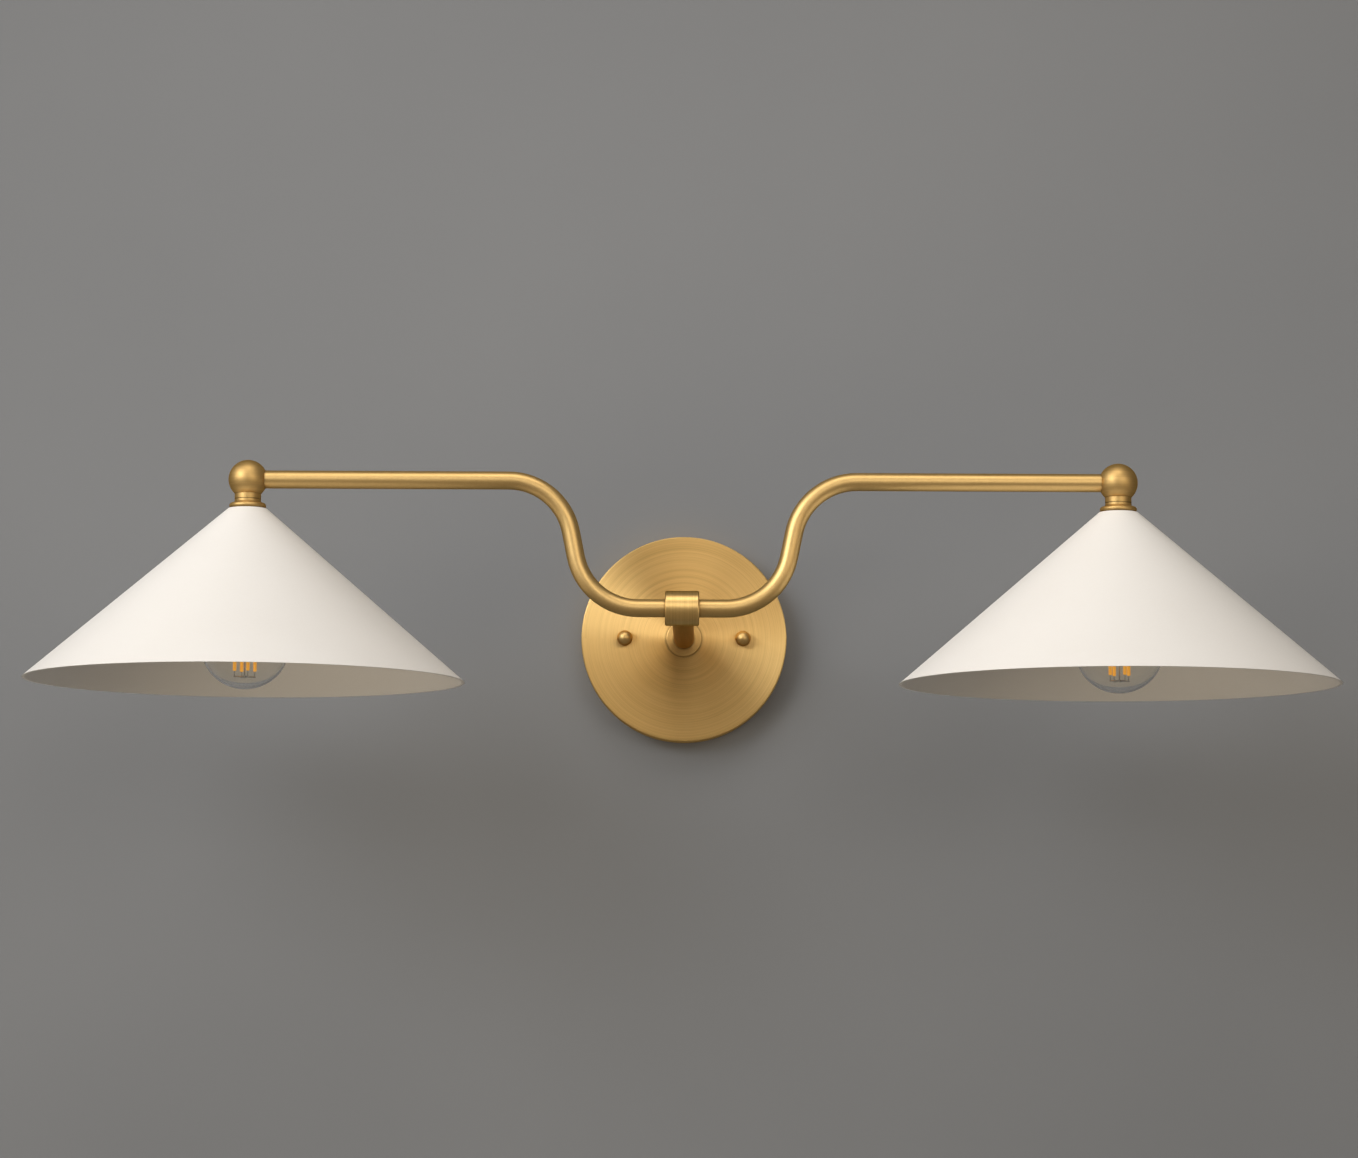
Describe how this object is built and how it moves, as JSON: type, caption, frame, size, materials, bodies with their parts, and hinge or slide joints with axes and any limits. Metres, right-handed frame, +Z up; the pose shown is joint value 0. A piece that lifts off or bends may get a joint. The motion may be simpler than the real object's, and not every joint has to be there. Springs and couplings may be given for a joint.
{
  "type": "vanity wall light",
  "caption": "Wall light with a round brass back plate, a stem and one bent brass arm that carries white cone shades with clear globe filament bulbs pointing down.",
  "frame": {"origin": "middle of the two box screw slots of the crossbar, in the plane of the wall", "axes": "+Y into the wall, +Z up, +X to the right as the light is seen from the front"},
  "size_m": [0.7472, 0.3282, 0.1477],
  "materials": {
    "satin_brass": "satin, brushed, lacquered",
    "shade_paint": "satin warm white powder coat",
    "zinc_steel": "zinc plated",
    "green_screw": "green plated",
    "black_insulation": "matte",
    "white_insulation": "matte",
    "wire_connector": "matte",
    "phenolic": "moulded, semi matte",
    "contact_brass": "bare, stamped",
    "clear_glass": "clear, polished",
    "bulb_cap_metal": "rolled, bright",
    "black_glass": "glossy",
    "solder": "soldered",
    "amber_phosphor": "smooth silicone",
    "lead_wire": "drawn wire"
  },
  "bodies": {
    "crossbar": {"box_strap": "zinc_steel", "strap_rivet": "zinc_steel"},
    "light": {"swivel_bar": "zinc_steel", "ground_screw": "green_screw", "backplate": "satin_brass", "mounting_studs": "zinc_steel", "stud_nuts": "zinc_steel", "stem_seat_ring": "satin_brass", "stem_nipple": "zinc_steel", "stem_lock_washer": "zinc_steel", "stem_hex_nut": "zinc_steel", "stem": "satin_brass", "collar_nipple": "zinc_steel", "collar": "satin_brass", "collar_set_screw": "zinc_steel", "arm_tube": "satin_brass", "wire_nuts": "wire_connector", "wire_live_left": "black_insulation", "wire_neutral_left": "white_insulation", "end_ball_left": "satin_brass", "shade_neck_left": "satin_brass", "head_nipple_left": "zinc_steel", "shade_left": "shade_paint", "shade_washer_left": "zinc_steel", "shade_nut_left": "zinc_steel", "socket_cap_left": "phenolic", "socket_body_left": "phenolic", "socket_screw_shell_left": "contact_brass", "socket_contact_left": "contact_brass", "socket_terminals_left": "contact_brass", "wire_live_right": "black_insulation", "wire_neutral_right": "white_insulation", "end_ball_right": "satin_brass", "shade_neck_right": "satin_brass", "head_nipple_right": "zinc_steel", "shade_right": "shade_paint", "shade_washer_right": "zinc_steel", "shade_nut_right": "zinc_steel", "socket_cap_right": "phenolic", "socket_body_right": "phenolic", "socket_screw_shell_right": "contact_brass", "socket_contact_right": "contact_brass", "socket_terminals_right": "contact_brass"},
    "left_bulb": {"bulb_glass_left": "clear_glass", "bulb_base_left": "bulb_cap_metal", "bulb_insulator_left": "black_glass", "bulb_tip_left": "solder", "bulb_stem_left": "clear_glass", "bulb_filaments_left": "amber_phosphor", "bulb_wires_left": "lead_wire"},
    "left_ball_nut": {"ball_nut_left": "satin_brass"},
    "right_bulb": {"bulb_glass_right": "clear_glass", "bulb_base_right": "bulb_cap_metal", "bulb_insulator_right": "black_glass", "bulb_tip_right": "solder", "bulb_stem_right": "clear_glass", "bulb_filaments_right": "amber_phosphor", "bulb_wires_right": "lead_wire"},
    "right_ball_nut": {"ball_nut_right": "satin_brass"}
  },
  "joints": [
    {"name": "levelling_swivel", "type": "hinge", "parent": "crossbar", "child": "light", "pos_m": [0, 0, 0], "axis": [0, -1, 0], "range_deg": [-15, 15]},
    {"name": "left_bulb_removal", "type": "slide", "parent": "light", "child": "left_bulb", "axis": [0, 0, -1], "range_m": [0, 0.03]},
    {"name": "left_ball_nut_removal", "type": "slide", "parent": "light", "child": "left_ball_nut", "axis": [0, -1, 0], "range_m": [0, 0.008]},
    {"name": "right_bulb_removal", "type": "slide", "parent": "light", "child": "right_bulb", "axis": [0, 0, -1], "range_m": [0, 0.03]},
    {"name": "right_ball_nut_removal", "type": "slide", "parent": "light", "child": "right_ball_nut", "axis": [0, -1, 0], "range_m": [0, 0.008]}
  ]
}
